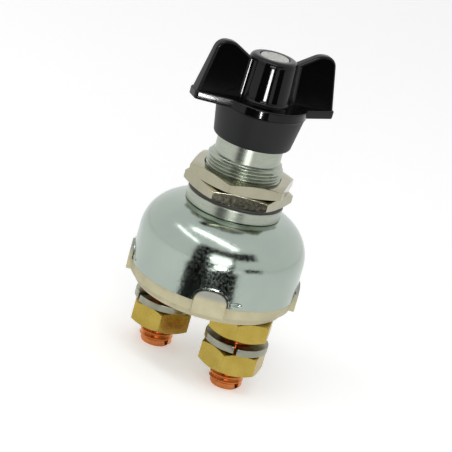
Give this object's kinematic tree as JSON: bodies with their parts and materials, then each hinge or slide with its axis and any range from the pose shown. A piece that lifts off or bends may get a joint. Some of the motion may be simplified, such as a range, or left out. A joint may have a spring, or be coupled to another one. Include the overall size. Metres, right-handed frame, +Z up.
{
  "type": "battery terminal disconnect switch",
  "caption": "Rotary battery disconnect switch: black butterfly knob on a threaded panel neck, drawn steel housing, moulded base and copper terminal studs with brass nuts.",
  "frame": {"origin": "centre of the upper face of the neck bush's collar, which seats against the panel", "axes": "+Z up the neck to the knob, the two terminal studs on the X axis, knob at OFF"},
  "size_m": [0.0488, 0.0488, 0.0987],
  "materials": {
    "black_phenolic": "moulded, glossy",
    "turned_steel": "turned",
    "black_rubber": "moulded",
    "zinc_plated_steel": "bright zinc plate on turned steel",
    "zinc_plated_drawn_steel": "bright zinc plate on drawn steel",
    "dark_seal_washer": "plain",
    "nickel_plated_steel": "nickel plate",
    "cream_moulding": "moulded, matt",
    "spring_steel": "zinc plate on spring steel",
    "copper": "bare copper",
    "brass": "bare brass"
  },
  "bodies": {
    "switch_body": {"neck_bush": "zinc_plated_steel", "housing": "zinc_plated_drawn_steel", "base": "cream_moulding", "seal_washer": "dark_seal_washer", "lower_panel_nut": "nickel_plated_steel", "upper_panel_nut": "nickel_plated_steel", "left_terminal_stud": "copper", "left_inner_nut": "brass", "left_spring_washer": "spring_steel", "left_outer_nut": "brass", "right_terminal_stud": "copper", "right_inner_nut": "brass", "right_spring_washer": "spring_steel", "right_outer_nut": "brass"},
    "knob_group": {"knob": "black_phenolic", "spindle": "turned_steel", "spindle_seal": "black_rubber", "thrust_washer": "turned_steel", "contact_carrier": "cream_moulding", "contact_spring": "spring_steel", "contact_bridge": "copper"}
  },
  "joints": [
    {"name": "knob_turn", "type": "hinge", "parent": "switch_body", "child": "knob_group", "pos_m": [0, 0, 0], "axis": [0, 0, -1], "range_deg": [0, 90]}
  ]
}
